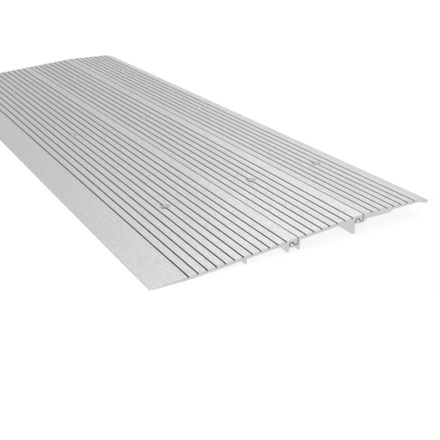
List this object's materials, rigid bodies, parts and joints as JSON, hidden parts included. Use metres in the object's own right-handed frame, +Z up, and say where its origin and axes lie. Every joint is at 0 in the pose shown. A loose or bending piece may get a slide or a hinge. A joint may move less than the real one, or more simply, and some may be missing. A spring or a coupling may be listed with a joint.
{
  "type": "threshold ramp",
  "caption": "Low aluminium door threshold ramp of hooked extruded panels: grooved treads, feathered nose, short legs under the slope and a level landing with a bevelled lip.",
  "frame": {"origin": "centre of the ramp's footprint, on the floor", "axes": "+X along the doorway, +Y up the ramp from the nose to the lip, +Z up"},
  "size_m": [0.9144, 0.3468, 0.0213],
  "materials": {
    "mill_aluminium": "satin mill finish"
  },
  "bodies": {
    "middle": {"middle_panel": "mill_aluminium"},
    "approach": {"approach_panel": "mill_aluminium"},
    "landing": {"landing_panel": "mill_aluminium"}
  },
  "joints": [
    {"name": "approach_hook", "type": "hinge", "parent": "middle", "child": "approach", "pos_m": [0, -0.01408, 0.00727], "axis": [1, 0, 0], "range_deg": [-5, 30]},
    {"name": "landing_hook", "type": "hinge", "parent": "middle", "child": "landing", "pos_m": [0, 0.07132, 0.01439], "axis": [-1, 0, 0], "range_deg": [-5, 30]}
  ]
}
